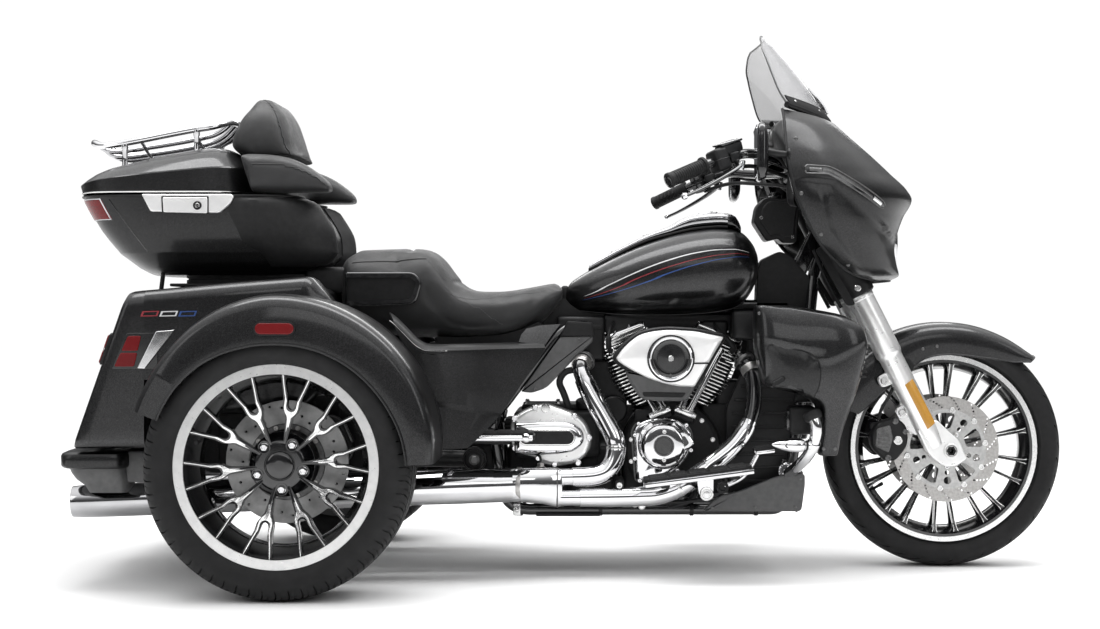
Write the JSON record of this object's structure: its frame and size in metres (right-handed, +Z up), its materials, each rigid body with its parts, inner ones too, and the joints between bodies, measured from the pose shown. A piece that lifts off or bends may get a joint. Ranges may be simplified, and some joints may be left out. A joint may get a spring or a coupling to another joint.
{
  "type": "motorized trike",
  "caption": "Three-wheeled touring motorcycle with a V-twin engine, steerable fork with fairing and windshield, two rear wheels under a trunk body, a top case and a two-up seat.",
  "frame": {"origin": "on the ground below the middle of the vehicle's bounding box", "axes": "+X towards the front wheel, +Y to the rider's left, +Z up"},
  "size_m": [2.608, 1.39, 1.426],
  "materials": {
    "tyre_rubber": "matt",
    "black_leather": "satin grained",
    "grey_metallic_paint": "gloss metallic",
    "chrome": "polished",
    "black_metal": "gloss",
    "bare_steel": "brushed",
    "polished_aluminium": "polished",
    "smoked_clear": "clear",
    "lamp_clear": "clear",
    "lamp_red": "gloss",
    "black_rubber": "matt",
    "black_plastic": "grained"
  },
  "bodies": {
    "chassis": {"frame": "black_metal", "crankcase": "black_metal", "front_cylinder": "black_metal", "rear_cylinder": "black_metal", "air_cleaner": "chrome", "gearbox": "black_metal", "engine_covers": "chrome", "primary_cover": "chrome", "fuel_tank": "grey_metallic_paint", "tank_console": "chrome", "seat": "black_leather", "rear_body": "grey_metallic_paint", "rear_fender_right": "grey_metallic_paint", "rear_fender_left": "grey_metallic_paint", "side_panel_right": "grey_metallic_paint", "side_panel_left": "grey_metallic_paint", "rear_bumper": "grey_metallic_paint", "rear_lamps": "lamp_red", "top_case_base": "grey_metallic_paint", "armrest_pads": "black_leather", "swingarm": "black_metal", "shock_absorbers": "black_metal", "rear_calipers": "black_metal", "exhaust_pipes": "chrome", "mufflers": "chrome", "floorboards": "black_rubber", "foot_controls": "chrome", "engine_guard": "chrome", "lower_fairing_right": "grey_metallic_paint", "lower_fairing_left": "grey_metallic_paint", "chin_spoiler": "black_plastic"},
    "steering": {"fork": "black_metal", "fork_sliders": "polished_aluminium", "front_axle": "bare_steel", "front_fender": "grey_metallic_paint", "front_calipers": "black_metal", "handlebar": "black_metal", "hand_controls": "black_rubber", "mirrors": "black_plastic", "fairing_shell": "grey_metallic_paint", "inner_fairing": "black_plastic", "windshield": "smoked_clear", "headlamp": "lamp_clear"},
    "front_wheel": {"front_tyre": "tyre_rubber", "front_rim": "black_metal", "front_discs": "bare_steel"},
    "rear_wheel_right": {"rear_tyre_right": "tyre_rubber", "rear_rim_right": "black_metal", "rear_disc_right": "bare_steel"},
    "rear_wheel_left": {"rear_tyre_left": "tyre_rubber", "rear_rim_left": "black_metal", "rear_disc_left": "bare_steel"},
    "trunk_door": {"trunk_door": "grey_metallic_paint"},
    "top_case_lid": {"top_case_lid": "grey_metallic_paint", "luggage_rack": "chrome", "backrest_pad": "black_leather"}
  },
  "joints": [
    {"name": "steering", "type": "hinge", "parent": "chassis", "child": "steering", "pos_m": [0.993, 0, 0.319], "axis": [-0.454, 0, 0.891], "range_deg": [-30, 30]},
    {"name": "front_wheel_spin", "type": "hinge", "parent": "steering", "child": "front_wheel", "pos_m": [0.985, 0, 0.319], "axis": [0, 1, 0], "continuous": true},
    {"name": "rear_wheel_right_spin", "type": "hinge", "parent": "chassis", "child": "rear_wheel_right", "pos_m": [-0.707, -0.552, 0.32], "axis": [0, 1, 0], "continuous": true},
    {"name": "rear_wheel_left_spin", "type": "hinge", "parent": "chassis", "child": "rear_wheel_left", "pos_m": [-0.707, 0.552, 0.32], "axis": [0, 1, 0], "continuous": true},
    {"name": "trunk_door_hinge", "type": "hinge", "parent": "chassis", "child": "trunk_door", "pos_m": [-1.104, 0, 0.736], "axis": [0, 1, 0], "range_deg": [0, 70]},
    {"name": "top_case_lid_hinge", "type": "hinge", "parent": "chassis", "child": "top_case_lid", "pos_m": [-1.07, 0.293, 0.99], "axis": [-1, 0, 0], "range_deg": [0, 85]}
  ]
}
